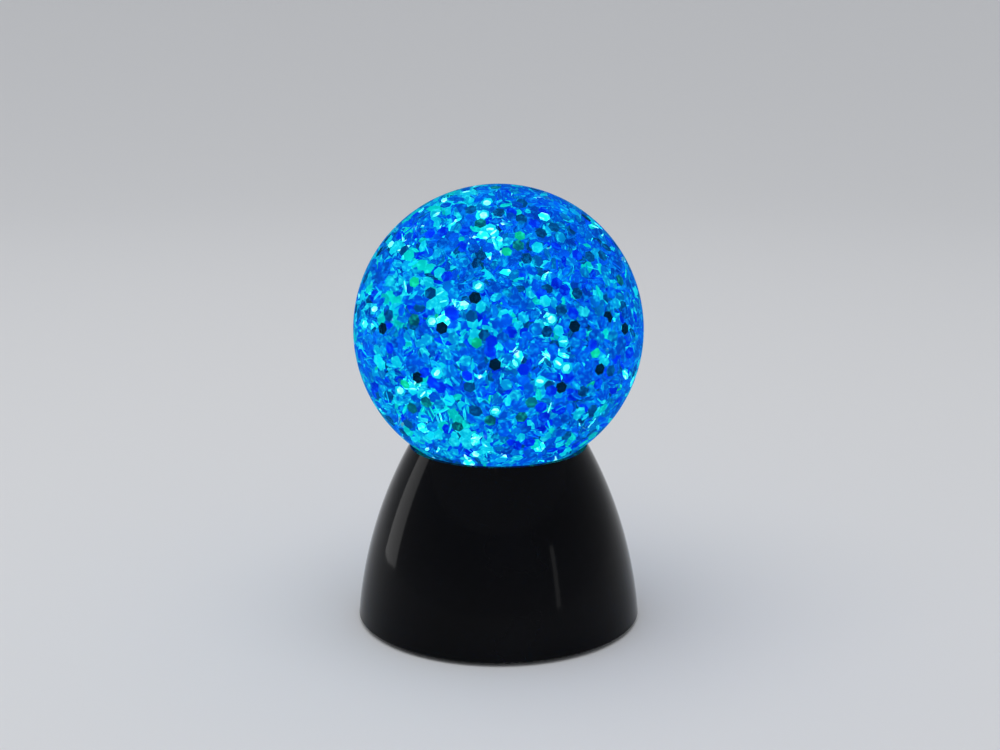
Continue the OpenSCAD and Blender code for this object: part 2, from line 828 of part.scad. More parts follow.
module power_board_screws() {
    color(STEEL) for (z = pillar_z) translate([0, power_board_y, z]) backwards() screw(power_screw);
}

module switch_body() {
    plunger_hole = plunger_side + 2 * plunger_gap;
    hole_floor = power_face_y + switch_depth - plunger_in - button_travel - plunger_end_gap;
    color(SATIN_BLACK) translate([-power_x, 0, power_z]) backwards() difference() {
        block(switch_side, switch_side, power_face_y, power_face_y + switch_depth);
        block(plunger_hole, plunger_hole, hole_floor, power_face_y + switch_depth + OVER);
    }
}

module switch_plunger() {
    color(WHITE) translate([-power_x, 0, power_z]) backwards()
        block(plunger_side, plunger_side, power_face_y + switch_depth - plunger_in, flange_y);
}

module power_button() {
    button_r = button_d / 2;
    color(SATIN_BLACK) translate([-power_x, 0, power_z]) backwards() rotate_extrude() polygon([
        [0, flange_y],
        [flange_r, flange_y],
        [flange_r, flange_y + flange_t],
        [button_r, flange_y + flange_t],
        [button_r, button_face_y - edge_r],
        [button_r - edge_r / 2, button_face_y],
        [0, button_face_y]
    ]);
}

module power_inlet() {
    color(SATIN_BLACK) translate([power_x, 0, power_z]) backwards() {
        difference() {
            union() {
                block(inlet_side, inlet_side, power_face_y, inlet_body_y);
                bar(inlet_nose_d, power_face_y, inlet_nose_y);
            }
            bar(inlet_bore_d, power_face_y + inlet_back, inlet_nose_y + OVER);
        }
        bar(inlet_pin_d, power_face_y + inlet_back / 2, inlet_nose_y - inlet_pin_short);
    }
}

// A piece at a cell: its height runs from the middle of the box towards the cell's button end
module at_cell(i) {
    translate([0, cell_y(i), cell_z]) rotate([0, 90 * cell_way(i), 0]) children();
}

module battery_cells() {
    cell_start = plate_t + spring_l - bay_l / 2;
    color([0.2, 0.45, 0.3]) for (i = [0 : cell_count - 1]) at_cell(i) {
        bar(cell_d, cell_start, cell_start + cell_len - cell_nub_h);
        bar(cell_nub_d, cell_start, cell_start + cell_len);
    }
}

// A contact plate on one end wall of the box, from one cell to another
module contact_plate(side, first, last) {
    span = cell_y(last) - cell_y(first);
    translate([side * plate_x, cell_y(first) + span / 2, 0])
        block(plate_t, plate_w + span, door_top + plate_edge_gap, roof_z - plate_edge_gap);
}

module contact_plates() {
    color(STEEL) {
        for (t = tags) {
            contact_plate(t[0], t[1], t[1]);
            translate(tag_place(t, 0))
                block(plate_t, tag_w, roof_z - plate_edge_gap - OVER, roof_top + tag_h);
        }
        for (i = [0 : cell_count - 2]) contact_plate(cell_way(i), i, i + 1);
        for (i = [0 : cell_count - 1]) at_cell(i)
            bar(cell_nub_d, bay_l / 2 - plate_t - dimple_h, bay_l / 2 - plate_t / 2);
    }
}

// Points of a smooth curve through given points, each stretch in the same number of steps
function curve_point(p, i, t) =
    let (
        a = p[max(i - 1, 0)],
        b = p[i],
        c = p[i + 1],
        d = p[min(i + 2, len(p) - 1)]
    )
    0.5 * (2 * b + (c - a) * t + (2 * a - 5 * b + 4 * c - d) * t * t + (3 * b - a - 3 * c + d) * t * t * t);
function curve(p, steps) =
    [for (i = [0 : len(p) - 2], k = [0 : steps - 1]) curve_point(p, i, k / steps), p[len(p) - 1]];
function inner(p) = [for (i = [1 : len(p) - 2]) p[i]];
function with_leads(p, steps) = concat([p[0]], curve(inner(p), steps), [p[len(p) - 1]]);

function unit(v) = v / norm(v);
function tangent(p, i) = unit(p[min(i + 1, len(p) - 1)] - p[max(i - 1, 0)]);
function square_to(n, t) = unit(n - (n * t) * t);

// A normal at each point, carried along without twist from a first guess
function normals(p, guess) =
    [for (i = 0, n = square_to(guess, tangent(p, 0)); i < len(p);
          i = i + 1, n = square_to(n, tangent(p, min(i, len(p) - 1)))) n];

// A round tube along points, closed at both ends
module tube_along(p, d, sides, guess) {
    n = normals(p, guess);
    last = len(p) - 1;
    rings = [for (i = [0 : last], k = [0 : sides - 1])
        let (a = k * 360 / sides, b = cross(tangent(p, i), n[i]))
        p[i] + d / 2 * (cos(a) * n[i] + sin(a) * b)];
    function at(i, k) = i * sides + k % sides;
    polyhedron(
        concat(rings, [p[0], p[last]]),
        concat(
            [for (i = [0 : last - 1], k = [0 : sides - 1]) [at(i, k), at(i + 1, k), at(i, k + 1)]],
            [for (i = [0 : last - 1], k = [0 : sides - 1]) [at(i, k + 1), at(i + 1, k), at(i + 1, k + 1)]],
            [for (k = [0 : sides - 1]) [len(rings), at(0, k), at(0, k + 1)]],
            [for (k = [0 : sides - 1]) [len(rings) + 1, at(last, k + 1), at(last, k)]]
        )
    );
}

// A contact spring: a cone of turns from the plate, wide there and narrow at the cell
spring_edge = 0.4;
spring_wide_r = plate_w / 2 - spring_wire / 2 - spring_edge;
spring_narrow_r = 2.2;
spring_rings = 8;
spring_sides = 6;
function spring_point(s) =
    let (
        r = spring_wide_r + (spring_narrow_r - spring_wide_r) * s,
        a = 360 * spring_turns * s,
        rise = spring_wire / 2 + fix_gap + (spring_l - spring_wire - 2 * fix_gap) * s
    )
    [r * cos(a), r * sin(a), plate_t - bay_l / 2 + rise];
spring_path =
    let (n = ceil(spring_turns * spring_rings)) [for (i = [0 : n]) spring_point(i / n)];
spring_gap = norm(spring_point(0) - spring_point(1 / spring_turns)) - spring_wire;
echo(least_gap_between_spring_turns = spring_gap);

module contact_springs() {
    color(STEEL) for (i = [0 : cell_count - 1]) at_cell(i)
        tube_along(spring_path, spring_wire, spring_sides, [0, 0, 1]);
}

module wires(routes) {
    for (r = routes) tube_along(with_leads(r, wire_steps), wire_d, wire_sides, [1, 0.2, 0.1]);
}

module battery_wires() {
    color([0.75, 0.08, 0.08]) wires(battery_routes);
}

module motor_wires() {
    color([0.85, 0.75, 0.1]) wires(motor_routes);
}

module led_wires() {
    color(WHITE) wires(led_routes);
}

base_shell();
bottom_cover();
cover_screws();
rubber_feet();
battery_door();
door_screws();
globe_shell();
globe_plug();
plug_seal_ring();
neck_nut();
stirrer_pin();
pin_cap();
stirrer();
stirrer_magnets();
liquid_fill();
glitter_flakes();
led_board();
red_leds();
green_leds();
blue_leds();
control_chip();
led_board_screws();
motor_can();
motor_end_cap();
motor_terminals();
motor_shaft();
magnet_rotor();
drive_magnets();
motor_bracket();
motor_screws();
bracket_screws();
power_board();
power_board_screws();
switch_body();
switch_plunger();
power_button();
power_inlet();
battery_cells();
contact_plates();
contact_springs();
battery_wires();
motor_wires();
led_wires();
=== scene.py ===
"""Glitter lamp: a liquid-filled globe of lit glitter flakes on a glossy black base."""
import json
import math
import random

import bmesh
import bpy
from mathutils import Matrix, Vector, kdtree, noise

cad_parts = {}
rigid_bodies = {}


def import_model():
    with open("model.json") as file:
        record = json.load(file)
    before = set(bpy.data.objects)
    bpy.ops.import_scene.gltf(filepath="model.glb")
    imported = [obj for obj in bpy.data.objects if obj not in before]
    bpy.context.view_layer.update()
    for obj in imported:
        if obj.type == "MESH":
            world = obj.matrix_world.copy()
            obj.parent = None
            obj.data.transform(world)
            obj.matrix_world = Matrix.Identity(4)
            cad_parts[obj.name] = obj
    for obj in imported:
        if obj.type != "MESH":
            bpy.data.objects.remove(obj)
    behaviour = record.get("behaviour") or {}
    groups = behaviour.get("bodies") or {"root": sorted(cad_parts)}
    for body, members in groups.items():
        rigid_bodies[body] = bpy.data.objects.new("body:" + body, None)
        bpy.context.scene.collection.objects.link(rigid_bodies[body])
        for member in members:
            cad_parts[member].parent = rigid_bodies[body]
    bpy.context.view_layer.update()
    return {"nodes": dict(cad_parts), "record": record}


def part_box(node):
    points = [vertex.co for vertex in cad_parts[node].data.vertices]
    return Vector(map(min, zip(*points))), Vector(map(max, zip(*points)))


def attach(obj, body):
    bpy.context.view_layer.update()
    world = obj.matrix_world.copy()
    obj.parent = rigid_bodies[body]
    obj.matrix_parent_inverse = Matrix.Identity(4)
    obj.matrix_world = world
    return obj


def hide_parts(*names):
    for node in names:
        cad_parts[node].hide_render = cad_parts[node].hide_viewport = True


for leftover in list(bpy.data.objects):
    bpy.data.objects.remove(leftover)
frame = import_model()

MM = 0.001

# The globe and the liquid, from the CAD boxes
globe_low, globe_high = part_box("globe_shell")
GLOBE_R = (globe_high.x - globe_low.x) / 2
GLOBE_WALL = 2.0 * MM
GLOBE_BEND = 1.2
NECK_R = 16.0 * MM
NECK_BORE_R = 14.0 * MM
GLOBE_MID = Vector((0, 0, globe_high.z - GLOBE_R))
CAVITY_R = GLOBE_R - GLOBE_WALL
LIQUID_SLACK = 0.06 * MM

# The hollow in the liquid round the stirring wheel
POCKET_R = 12.3 * MM
POCKET_RISE = 1.0 * MM
POCKET_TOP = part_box("pin_cap")[1].z + POCKET_RISE

# Glitter: hexagonal flakes, measured across their flats, with their gap to the wall, their room round the
# hollow, and how far each one fills its cell of the bake map
FLAKE_COUNT = 7800
FLAKE_WIDE = 3.2 * MM
FLAKE_R = FLAKE_WIDE / math.sqrt(3)
FLAKE_T = 0.14 * MM
FLAKE_CLEAR = 0.15 * MM
FLAKE_REACH = FLAKE_R * 1.1
FLAKE_SEED = 11
HEX_TURN = math.tau / 6
CELL_FILL = 0.46

# How near two points of a mesh become one, and the angle from which an edge is sharp
MERGE_GAP = 0.001 * MM
SHARP_ANGLE = math.radians(35)

# Camera, as the photograph was taken
CAMERA_PLACE = (0.46 * MM, -470.8 * MM, 187.6 * MM)
CAMERA_TILT = math.radians(76.95)
CAMERA_LENS = 55.59

# Glow of the lights under the globe, how far it dips, and how much of its tone a film has unlit
LED_GLOW = 1.2
LED_DIMMEST = 0.7
UNLIT_SHARE = 0.1

# A Mix node's sockets for colours: share, first, second and result
MIX_SHARE, MIX_FIRST, MIX_SECOND, MIX_RESULT = 0, 6, 7, 2


# Node helpers

def new_finish(name):
    """A fresh material with its tree, its shader and the piece's own coordinates."""
    finish = bpy.data.materials.new(name)
    finish.use_nodes = True
    tree = finish.node_tree
    shader = tree.nodes["Principled BSDF"]
    place = tree.nodes.new("ShaderNodeTexCoord").outputs["Object"]
    return finish, tree, shader, place


def settings(shader, **values):
    """Sets sockets by name, with underscores for spaces."""
    for name, value in values.items():
        if isinstance(value, tuple) and len(value) == 3:
            value = (*value, 1.0)
        shader.inputs[name.replace("_", " ")].default_value = value


def grain(tree, place, size, detail=3.0, rough=0.5):
    """Cloudy noise, about `size` metres from cloud to cloud."""
    node = tree.nodes.new("ShaderNodeTexNoise")
    settings(node, Scale=1 / size, Detail=detail, Roughness=rough)
    tree.links.new(place, node.inputs["Vector"])
    return node.outputs["Fac"]


def stretched(tree, place, scale):
    """Coordinates squeezed by a factor on each axis, for drawn or turned marks."""
    node = tree.nodes.new("ShaderNodeMapping")
    node.inputs["Scale"].default_value = scale
    tree.links.new(place, node.inputs["Vector"])
    return node.outputs["Vector"]


def between(tree, source, low, high, start=0.3, end=0.7):
    """Maps a noise value onto the range low to high."""
    node = tree.nodes.new("ShaderNodeMapRange")
    settings(node, From_Min=start, From_Max=end, To_Min=low, To_Max=high)
    tree.links.new(source, node.inputs["Value"])
    return node.outputs["Result"]


def tones(tree, source, *colours):
    """A colour ramp over a noise value, with evenly spread colours."""
    node = tree.nodes.new("ShaderNodeValToRGB")
    ramp = node.color_ramp
    first, last = 0.3, 0.7
    while len(ramp.elements) < len(colours):
        ramp.elements.new(0.5)
    for i, colour in enumerate(colours):
        ramp.elements[i].position = first + (last - first) * i / (len(colours) - 1)
        ramp.elements[i].color = (*colour, 1.0)
    tree.links.new(source, node.inputs["Fac"])
    return node.outputs["Color"]


def relief(tree, shader, source, depth, strength=1.0):
    """Fine surface relief of a given depth in metres."""
    node = tree.nodes.new("ShaderNodeBump")
    settings(node, Strength=strength, Distance=depth)
    tree.links.new(source, node.inputs["Height"])
    tree.links.new(node.outputs["Normal"], shader.inputs["Normal"])


def mixed(tree, share, first, second):
    """Ends a material in two shaders, with the second one's share of the surface."""
    both = tree.nodes.new("ShaderNodeMixShader")
    tree.links.new(share, both.inputs["Fac"])
    tree.links.new(first.outputs["BSDF"], both.inputs[1])
    tree.links.new(second.outputs["BSDF"], both.inputs[2])
    tree.links.new(both.outputs["Shader"], tree.nodes["Material Output"].inputs["Surface"])


# Finishes

def moulded(name, dark, light, rough, cloud, peel, depth, **extra):
    """Moulded plastic: two close tones, patchy gloss and a fine skin."""
    finish, tree, shader, place = new_finish(name)
    clouds = grain(tree, place, cloud)
    tree.links.new(tones(tree, clouds, dark, light), shader.inputs["Base Color"])
    tree.links.new(between(tree, clouds, *rough), shader.inputs["Roughness"])
    relief(tree, shader, grain(tree, place, peel, detail=2.0), depth)
    settings(shader, **extra)
    return finish


def metal(name, dark, light, rough, mark, stretch=(1, 1, 1)):
    """Bare metal with drawn or turned marks."""
    finish, tree, shader, place = new_finish(name)
    marks = grain(tree, stretched(tree, place, stretch), mark, detail=4.0, rough=0.6)
    tree.links.new(tones(tree, marks, dark, light), shader.inputs["Base Color"])
    tree.links.new(between(tree, marks, *rough), shader.inputs["Roughness"])
    relief(tree, shader, marks, 0.02 * MM, strength=0.4)
    settings(shader, Metallic=1.0)
    return finish


def gloss_black():
    """Polished black shell: a faint blue in the black and a soft wave in the gloss."""
    return moulded("gloss_black", (0.001, 0.0012, 0.002), (0.0018, 0.0022, 0.0036), rough=(0.05, 0.1),
                   cloud=24 * MM, peel=5 * MM, depth=0.002 * MM, Specular_IOR_Level=0.08, IOR=1.5)


def satin_black():
    return moulded("satin_black", (0.006, 0.006, 0.007), (0.011, 0.011, 0.012), rough=(0.38, 0.5),
                   cloud=6 * MM, peel=0.35 * MM, depth=0.02 * MM)


def foot_rubber():
    return moulded("foot_rubber", (0.012, 0.012, 0.012), (0.024, 0.024, 0.023), rough=(0.72, 0.86),
                   cloud=3 * MM, peel=0.25 * MM, depth=0.03 * MM)


def white_plastic():
    return moulded("white_plastic", (0.7, 0.7, 0.68), (0.78, 0.78, 0.77), rough=(0.3, 0.42),
                   cloud=7 * MM, peel=0.6 * MM, depth=0.012 * MM)


def board_green():
    """Solder mask over faint copper tracks."""
    finish, tree, shader, place = new_finish("board_green")
    tracks = tree.nodes.new("ShaderNodeTexBrick")
    tracks.offset = 0.37
    settings(tracks, Scale=1 / (9 * MM), Mortar_Size=0.035, Mortar_Smooth=0.2,
             Color1=(0.004, 0.06, 0.02), Color2=(0.005, 0.075, 0.026), Mortar=(0.014, 0.13, 0.045))
    tree.links.new(place, tracks.inputs["Vector"])
    tree.links.new(tracks.outputs["Color"], shader.inputs["Base Color"])
    tree.links.new(between(tree, grain(tree, place, 3 * MM), 0.22, 0.34), shader.inputs["Roughness"])
    relief(tree, shader, tracks.outputs["Fac"], 0.02 * MM)
    return finish


def wire(name, dark, light):
    return moulded(name, dark, light, rough=(0.36, 0.5), cloud=4 * MM, peel=0.5 * MM, depth=0.01 * MM)


def led_lens(name, dark, light):
    """Tinted lens lit from its chip, with a cloudy glow."""
    finish, tree, shader, place = new_finish(name)
    clouds = grain(tree, place, 3 * MM)
    tree.links.new(tones(tree, clouds, dark, light), shader.inputs["Base Color"])
    tree.links.new(between(tree, clouds, 0.08, 0.16), shader.inputs["Roughness"])
    glow = between(tree, clouds, LED_GLOW * LED_DIMMEST, LED_GLOW)
    tree.links.new(glow, shader.inputs["Emission Strength"])
    settings(shader, Emission_Color=light)
    return finish


def cell_jacket():
    """Printed foil sleeve: plain bands round the cell, no words."""
    finish, tree, shader, place = new_finish("cell_jacket")
    foil = grain(tree, stretched(tree, place, (0.15, 1, 1)), 1.2 * MM)
    tree.links.new(tones(tree, foil, (0.03, 0.035, 0.045), (0.055, 0.06, 0.075)),
                   shader.inputs["Base Color"])
    tree.links.new(between(tree, foil, 0.24, 0.36), shader.inputs["Roughness"])
    relief(tree, shader, foil, 0.008 * MM)
    settings(shader, Metallic=0.6)
    return finish


def clear_globe():
    """Clear plastic wall with faint wiping marks. Its gloss is tinted the blue of the lit glitter: a painted
    reflection colour.
    """
    finish, tree, shader, place = new_finish("clear_globe")
    wiped = grain(tree, place, 16 * MM, detail=4.0, rough=0.6)
    smears = between(tree, wiped, 0.0, 0.014, start=0.45, end=0.8)
    through = tree.nodes.new("ShaderNodeBsdfRefraction")
    gloss = tree.nodes.new("ShaderNodeBsdfAnisotropic")
    angle = tree.nodes.new("ShaderNodeFresnel")
    settings(through, Color=(1.0, 1.0, 1.0), IOR=GLOBE_BEND)
    # Painted reflection colour: the gloss is blue in place of the glitter's light that it would reflect
    settings(gloss, Color=(0.02, 0.34, 0.85))
    settings(angle, IOR=GLOBE_BEND)
    tree.links.new(smears, through.inputs["Roughness"])
    tree.links.new(smears, gloss.inputs["Roughness"])
    tree.nodes.remove(shader)
    mixed(tree, angle.outputs["Fac"], through, gloss)
    return finish


def clear_liquid(name, thin, strong):
    """A cloudy tint and nothing else, because light neither bends nor shines where liquid meets wall."""
    finish, tree, shader, place = new_finish(name)
    clouds = grain(tree, place, 30 * MM)
    tree.links.new(tones(tree, clouds, thin, strong), shader.inputs["Base Color"])
    settings(shader, Roughness=0.0, Transmission_Weight=1.0, IOR=1.0)
    return finish


def film(name, deep, mid, glint, glow):
    """Glitter film lit by painted light: it glows in place of the LED light it would reflect, with soft tones
    across the ball and small painted glints on each flake.
    """
    finish, tree, shader, place = new_finish("film_" + name)
    broad = tones(tree, grain(tree, place, 7 * MM, detail=1.0), deep, mid)
    # Painted glints: a fine noise mask mixes the glint colour into the glow
    fine = grain(tree, place, 1.5 * MM, detail=1.5)
    lit = tree.nodes.new("ShaderNodeMix")
    lit.data_type = "RGBA"
    tree.links.new(between(tree, fine, 0.0, 1.0, start=0.5, end=0.74), lit.inputs[MIX_SHARE])
    tree.links.new(broad, lit.inputs[MIX_FIRST])
    lit.inputs[MIX_SECOND].default_value = (*glint, 1.0)
    tree.links.new(lit.outputs[MIX_RESULT], shader.inputs["Emission Color"])
    body = tuple(UNLIT_SHARE * part for part in deep)
    # The gloss is tinted cyan, a painted reflection colour
    settings(shader, Base_Color=body, Roughness=0.25, Emission_Strength=glow,
             Specular_IOR_Level=0.12, Specular_Tint=(0.1, 0.75, 1.0))
    return finish


# Every film's tones are painted light: the flakes glow with them though they are no lamps. The dark, shade
# and moss films are painted shade, and the white glints of the spark and glare films are painted glints
# name: share of the flakes that are strewn at random, deeper tone, main tone, glint, glow
FILMS = {
    "azure": (25, (0.001, 0.05, 0.52), (0.001, 0.12, 0.92), (0.003, 0.36, 1.0), 1.0),
    "blue": (19, (0.001, 0.04, 0.36), (0.001, 0.095, 0.68), (0.002, 0.27, 0.9), 1.0),
    "sky": (16, (0.001, 0.11, 0.52), (0.002, 0.23, 0.9), (0.01, 0.7, 1.0), 1.0),
    "sea": (9.5, (0.001, 0.085, 0.34), (0.002, 0.19, 0.62), (0.006, 0.6, 0.85), 1.0),
    "pale": (9, (0.002, 0.21, 0.55), (0.004, 0.41, 0.88), (0.03, 1.0, 1.0), 1.0),
    "deep": (8, (0.0005, 0.012, 0.52), (0.001, 0.036, 1.0), (0.001, 0.14, 1.0), 1.0),
    "cyan": (6, (0.002, 0.42, 0.65), (0.008, 0.8, 0.95), (0.06, 1.0, 1.0), 1.0),
    "shade": (4, (0.001, 0.028, 0.12), (0.001, 0.075, 0.28), (0.002, 0.18, 0.5), 1.0),
    "dark": (0, (0.0005, 0.007, 0.022), (0.0005, 0.012, 0.036), (0.001, 0.02, 0.06), 1.0),
    "spark": (0.6, (0.01, 0.75, 0.95), (0.03, 0.95, 1.0), (1.0, 1.0, 1.0), 1.6),
    "turquoise": (2.5, (0.001, 0.42, 0.42), (0.003, 0.8, 0.68), (0.02, 1.0, 0.85), 1.0),
    "leaf": (0.3, (0.002, 0.3, 0.16), (0.005, 0.7, 0.34), (0.02, 1.0, 0.6), 1.0),
    "moss": (0.2, (0.001, 0.05, 0.09), (0.003, 0.17, 0.24), (0.01, 0.45, 0.36), 1.0),
    "glare": (0, (0.03, 0.8, 0.95), (0.4, 0.95, 1.0), (1.0, 1.0, 1.0), 2.2),
}
COOL = ("azure", "blue", "deep", "shade")
WARM = ("cyan", "turquoise", "pale", "leaf")
# How the mix of films warms, in doublings, as a painted light of the LEDs: in clouds, to the left and
# downwards. The cool films give way less
DRIFT_SIZE = 15 * MM
DRIFT = 1.5
LEFT_WARMTH = 0.75
LOW_WARMTH = 0.45
COOL_POWER = 0.5


# The way the photograph looks at the ball, and how much the ball enlarges what is near its wall
LEAN = math.radians(12)
ACROSS = Vector((1, 0, 0))
TOWARDS = Vector((0, -math.cos(LEAN), math.sin(LEAN)))
UPWARDS = TOWARDS.cross(ACROSS)
ENLARGED = 1.065


def front(across, up, depth=0.0):
    """A place under the globe's front wall, from what is seen in mm from the middle of the ball."""
    side, rise = across / ENLARGED, up / ENLARGED
    out = math.sqrt(max((CAVITY_R / MM - depth) ** 2 - side ** 2 - rise ** 2, 0))
    return GLOBE_MID + MM * (side * ACROSS + rise * UPWARDS + out * TOWARDS)


# Painted lit patches on the front, where the brighter films are commoner: across, up, reach in mm and what is
# commoner there
GLOWS = [
    (-2.6, 30.5, 5.0, {"spark": 60, "cyan": 60}),
    (-3.0, 39.0, 4.5, {"spark": 20, "cyan": 80}),
    (-6.0, 34.5, 3.5, {"spark": 40, "cyan": 40}),
    (-19.5, 36.0, 4.0, {"spark": 40, "cyan": 40}),
    (-33.0, 27.0, 3.5, {"spark": 40, "cyan": 30}),
    (-17.0, 9.0, 3.5, {"spark": 40, "cyan": 20}),
    (-20.0, 3.0, 3.0, {"spark": 30}),
    (-6.6, 13.0, 3.0, {"spark": 40}),
    (16.0, 3.0, 3.0, {"spark": 40}),
    (18.3, -10.4, 3.5, {"spark": 40, "cyan": 30}),
    (5.0, -9.5, 3.0, {"spark": 30}),
    (-26.6, -19.3, 5.0, {"spark": 70, "cyan": 70, "turquoise": 30}),
    (-22.6, -36.0, 5.5, {"spark": 30, "cyan": 160, "pale": 40}),
    (-8.1, -38.0, 5.5, {"spark": 30, "cyan": 150, "pale": 40}),
    (-24.0, 16.0, 6.0, {"turquoise": 50, "cyan": 40}),
    (-38.5, 8.4, 5.5, {"turquoise": 120, "cyan": 80}),
    (-13.0, -32.5, 6.5, {"turquoise": 80, "cyan": 110}),
    (-20.0, -28.0, 5.0, {"turquoise": 80, "cyan": 80}),
    (26.6, 14.5, 5.0, {"turquoise": 30, "cyan": 40}),
    (-4.0, -4.0, 4.0, {"turquoise": 30, "cyan": 20}),
    (33.0, 8.0, 4.0, {"cyan": 50}),
    (26.0, -26.0, 4.0, {"cyan": 50}),
]
# Painted white glints on the front: across and up in mm, and the film of the lit flake behind each one, a
# painted halo
HALO = "cyan"
GLINTS = [
    (-1.5, 29), (-2.5, 30), (-4.5, 34.5), (-19, 35), (-33, 26), (-3.5, 38.5), (-17.5, 10.5), (-16.5, 8),
    (-20, 2), (-41, 1.5), (-6, 12.5), (-38, 6), (16, 2.5), (18, -10.5), (20.5, -12), (19.5, -4),
    (5, -10.5), (12.5, -16), (-23, -20), (-26, -18.5), (-30, -19), (-18.5, -13.5), (-22, -37),
    (-10, -39.5), (-7, -38.5), (-1, -25),
]
# Single flakes that show under the front wall: their depth in mm, how far they lean, their size, and
# each one's across and up in mm. The dark, shade and moss flakes are painted shade. The glares are broken
# bits that glow white as painted glints
LONE_FLAKES = {
    "dark": (0.7, 0.05, 1.0, [
        (-7, 9), (-1, -11), (23, 0.5), (31, -12.5), (33.5, 3.5), (-35.5, 0), (-17, 0), (-24.5, -15),
        (19, -18), (39, 0),
    ]),
    "shade": (0.7, 0.1, 1.0, [
        (-29, 24), (-20.5, 10.5), (-8, 3.5), (-33.5, 4), (-8.5, 36.5), (17, 31), (13, 29), (7, 33.5),
        (8.5, 21), (28, 22), (32, 22.5), (19, 5.5), (14.5, -1), (34.5, -13), (29, -25), (21, -33),
        (-28, -29.5),
    ]),
    "moss": (0.7, 0.1, 1.0, [
        (-5.5, 32), (-25.5, 2.5), (6, 25), (37.5, 15), (-22, -22.5), (-26.5, -24.5), (-12.5, -30),
        (7, -27), (10, -22.5), (-2.5, -28),
    ]),
    "deep": (0.9, 0.2, 1.0, [
        (-13.5, 4), (-15.5, 15.5), (-17, 29.5), (-21, 29), (-10, 29.5), (14, 36), (11, 32), (20, 11.5),
        (17.5, 13.5), (22.5, 4.5), (-20, -16.5), (-17.5, -18), (-2, -4), (-2.5, -7), (7.5, -12.5),
        (16, -19), (13, -24), (14, -27), (9.5, -35), (30.5, -17),
    ]),
    "leaf": (1.2, 0.5, 0.9, [
        (6.5, 28), (2.5, 23), (29.5, -7.5), (-25.5, 14), (-28.5, -17), (-6.5, -4.5),
    ]),
    HALO: (2.4, 0.5, 1.0, GLINTS),
    "glare": (1.4, 1.8, 0.62, GLINTS),
}
# Room kept round a single flake, how far the front ones turn to the viewer, and spares for each front one
LONE_ROOM = 2.6 * MM
LONE_TURN = 0.3
SPARE_LONE = 1.6
# How deep a painted lit patch goes, and the number of spare patches
GLOW_DEPTH = 13 * MM
SPARE_GLOWS = 40
# Spares lie where the wall faces the viewer by less than this, and no flake lies where the base hides it
SIDE_ON = 0.25
LOWEST_FLAKE = GLOBE_MID.z - 38.5 * MM
SHORTEST_DRAW = 0.05


def in_cube(chance):
    """A point drawn at random in a cube of two a side."""
    return Vector([chance.uniform(-1, 1) for _ in range(3)])


def random_facing(chance):
    """A direction drawn at random, with no side favoured."""
    while True:
        facing = in_cube(chance)
        if SHORTEST_DRAW < facing.length < 1:
            return facing.normalized()


def lit_patches():
    """Each painted lit patch's middle on the wall, its reach and its films: the front ones, then the spares.
    """
    chance = random.Random(FLAKE_SEED + 1)
    patches = [(front(across, up) - GLOBE_MID, reach * MM, more) for across, up, reach, more in GLOWS]
    while len(patches) < len(GLOWS) + SPARE_GLOWS:
        facing = random_facing(chance)
        if facing.dot(TOWARDS) < SIDE_ON:
            reach, more = chance.choice(GLOWS)[2:]
            patches.append((facing * CAVITY_R, reach * MM, more))
    return patches


def film_at(place, patches, chance):
    """Picks a film for a flake by its place, as painted light: greener at the left, bluer at the right."""
    shares = {name: made[0] for name, made in FILMS.items()}
    out = place - GLOBE_MID
    drift = noise.noise(place / DRIFT_SIZE) * DRIFT
    warmth = 2 ** (drift - LEFT_WARMTH * out.x / CAVITY_R - LOW_WARMTH * out.z / CAVITY_R)
    for name in WARM:
        shares[name] *= warmth
    for name in COOL:
        shares[name] /= warmth ** COOL_POWER
    for middle, reach, more in patches:
        depth = CAVITY_R - out.dot(middle) / CAVITY_R
        if depth < GLOW_DEPTH and (out - middle * out.dot(middle) / CAVITY_R ** 2).length < reach:
            for name, extra in more.items():
                shares[name] += extra
    return chance.choices(list(shares), list(shares.values()))[0]


def flake_matrix(place, facing, roll, size=1.0):
    """Where one flake sits, which way its face looks, how it is rolled and its size."""
    turn = facing.to_track_quat("Z", "Y").to_matrix().to_4x4()
    return Matrix.Translation(place) @ turn @ Matrix.Rotation(roll, 4, "Z") @ Matrix.Scale(size, 4)


def lone_flakes(chance):
    """Film, place, facing and size of each single flake under the wall, the spares last."""
    found = []
    for name, (depth, lean, size, spots) in LONE_FLAKES.items():
        for across, up in spots:
            place = front(across, up, depth)
            wall = (place - GLOBE_MID).normalized()
            facing = wall + LONE_TURN * TOWARDS + lean * random_facing(chance)
            found.append((name, place, facing.normalized(), size))
    kinds = [name for name, *_ in found if name != HALO]
    spares = round(SPARE_LONE * len(kinds))
    while spares:
        wall = random_facing(chance)
        spot = GLOBE_MID + wall * CAVITY_R
        crowded = any((spot - place).length < 2 * FLAKE_R for _, place, _, _ in found)
        if wall.dot(TOWARDS) > SIDE_ON or spot.z < LOWEST_FLAKE or crowded:
            continue
        kind = chance.choice(kinds)
        # Each painted glint gets its painted halo flake behind it
        for name in (HALO, kind) if kind == "glare" else (kind,):
            depth, lean, size = LONE_FLAKES[name][:3]
            facing = wall + lean * random_facing(chance)
            found.append((name, spot - wall * depth * MM, facing.normalized(), size))
        spares -= 1
    return found


